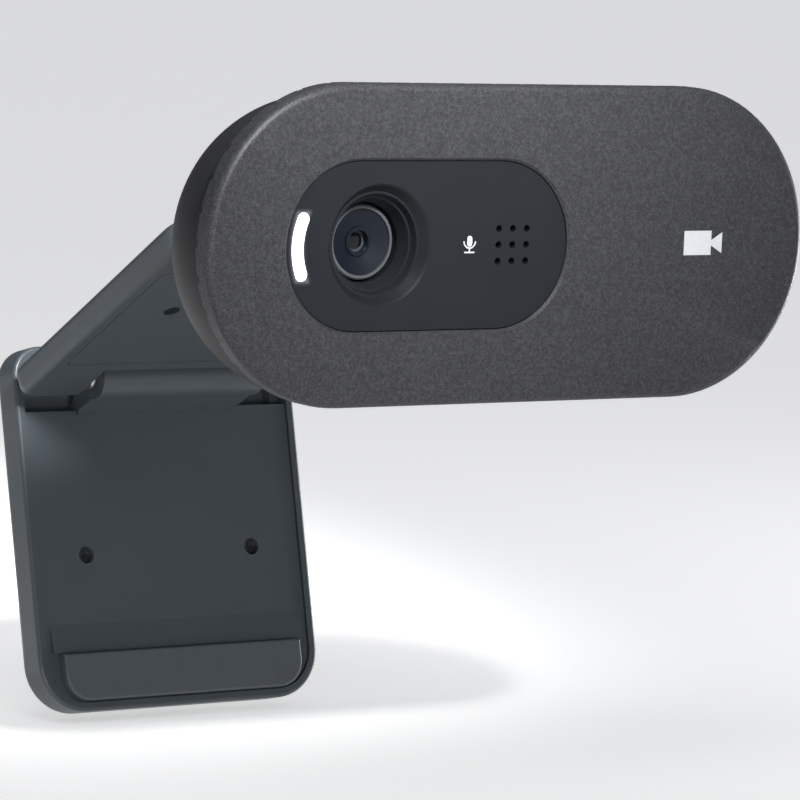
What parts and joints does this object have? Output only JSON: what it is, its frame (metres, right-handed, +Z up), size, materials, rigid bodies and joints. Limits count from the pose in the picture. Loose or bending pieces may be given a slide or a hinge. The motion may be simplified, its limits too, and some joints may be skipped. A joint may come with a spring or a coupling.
{
  "type": "clip-on webcam",
  "caption": "Pill-shaped webcam head with a round lens in a dark window, tilting on a folding two-part clip that grips a monitor's top edge.",
  "frame": {"origin": "centre of the clip's seat face, on the underside of the arm", "axes": "+Z up with the head upright, the camera's face looks along -Y, +X to the right for a person looking at the face"},
  "size_m": [0.0728, 0.0737, 0.0739],
  "materials": {
    "face_plastic": "fine speckled satin moulding, warm dark grey",
    "window_plastic": "satin blue-black",
    "light_guide": "clear white light guide",
    "housing_plastic": "grained charcoal moulding",
    "screw_steel": "blackened",
    "soft_rubber": "matte",
    "pin_steel": "bright",
    "lens_plastic": "black satin",
    "lens_glass": "coated",
    "chip_plastic": "moulded epoxy",
    "board_laminate": "solder mask",
    "connector_plastic": "natural nylon",
    "clip_plastic": "satin slate blue-grey moulding",
    "pad_rubber": "matte"
  },
  "bodies": {
    "clip_arm": {"arm_shell": "clip_plastic", "seat_panel": "clip_plastic", "arm_screws": "screw_steel", "lip_pad": "soft_rubber", "hinge_pin": "pin_steel", "hinge_washers": "pin_steel", "tilt_washers": "pin_steel"},
    "head": {"front_bezel": "face_plastic", "lens_panel": "window_plastic", "light_pipe": "light_guide", "mid_frame": "housing_plastic", "case_screws": "screw_steel", "rear_shell": "housing_plastic", "cable_gland": "soft_rubber", "tilt_pin": "pin_steel", "lens_barrel": "lens_plastic", "iris_ring": "lens_plastic", "front_lens": "lens_glass", "rear_lens": "lens_glass", "lens_holder": "lens_plastic", "ir_filter": "lens_glass", "image_sensor": "chip_plastic", "main_board": "board_laminate", "board_screws": "screw_steel", "status_led": "light_guide", "video_chip": "chip_plastic", "memory_chip": "chip_plastic", "crystal": "pin_steel", "cable_header": "connector_plastic", "mic_boot": "soft_rubber", "mic_capsule": "pin_steel"},
    "rear_plate": {"plate_shell": "clip_plastic", "plate_panel": "clip_plastic", "plate_screws": "screw_steel", "rubber_pad": "pad_rubber"}
  },
  "joints": [
    {"name": "head_tilt", "type": "hinge", "parent": "clip_arm", "child": "head", "pos_m": [0, -0.02098, 0.01457], "axis": [1, 0, 0], "range_deg": [-55, 12]},
    {"name": "clip_hinge", "type": "hinge", "parent": "clip_arm", "child": "rear_plate", "pos_m": [0, 0.01612, -0.00843], "axis": [1, 0, 0], "range_deg": [-100, 68]}
  ]
}
